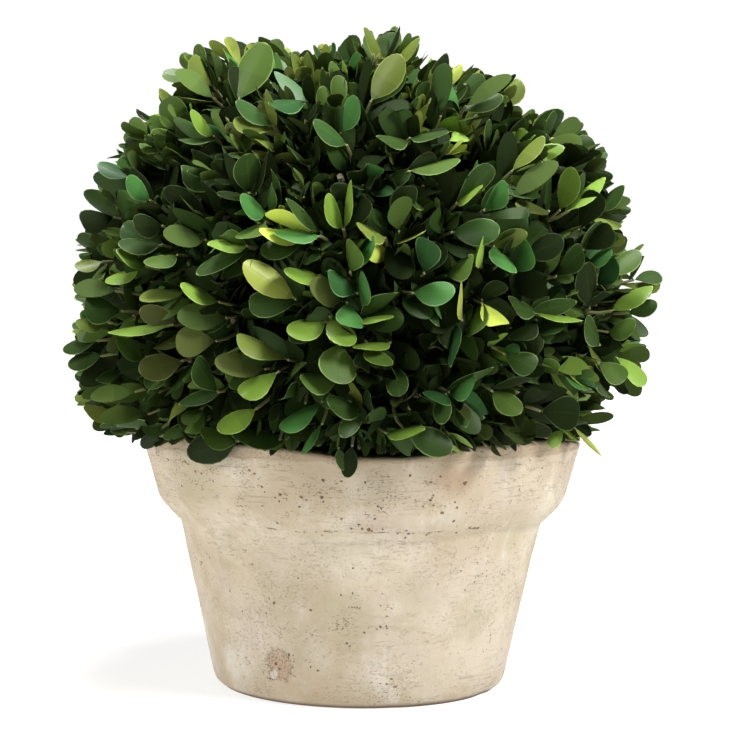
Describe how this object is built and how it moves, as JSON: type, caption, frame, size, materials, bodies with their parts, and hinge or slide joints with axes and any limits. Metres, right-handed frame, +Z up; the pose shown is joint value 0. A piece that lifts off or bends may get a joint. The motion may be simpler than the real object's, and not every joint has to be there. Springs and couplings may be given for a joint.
{
  "type": "box topiary ball in a pot",
  "caption": "Clipped ball of small-leaved evergreen foliage in a low, aged clay pot with a heavy rim; stands on its flat base.",
  "frame": {"origin": "centre of the pot's flat underside, on the surface that it stands on", "axes": "+Z up along the pot's axis; +X to the viewer's right; -Y towards the viewer"},
  "size_m": [0.2729, 0.2724, 0.2979],
  "materials": {
    "aged_clay": "matte, whitewashed and pitted",
    "dark_earth": "matte, crumbly",
    "box_bark": "matte, finely ridged bark",
    "box_leaf": "glossy above, matte below"
  },
  "bodies": {
    "root": {"pot": "aged_clay", "pot_fill": "dark_earth", "stem": "box_bark", "foliage_ball": "box_leaf"}
  },
  "joints": []
}
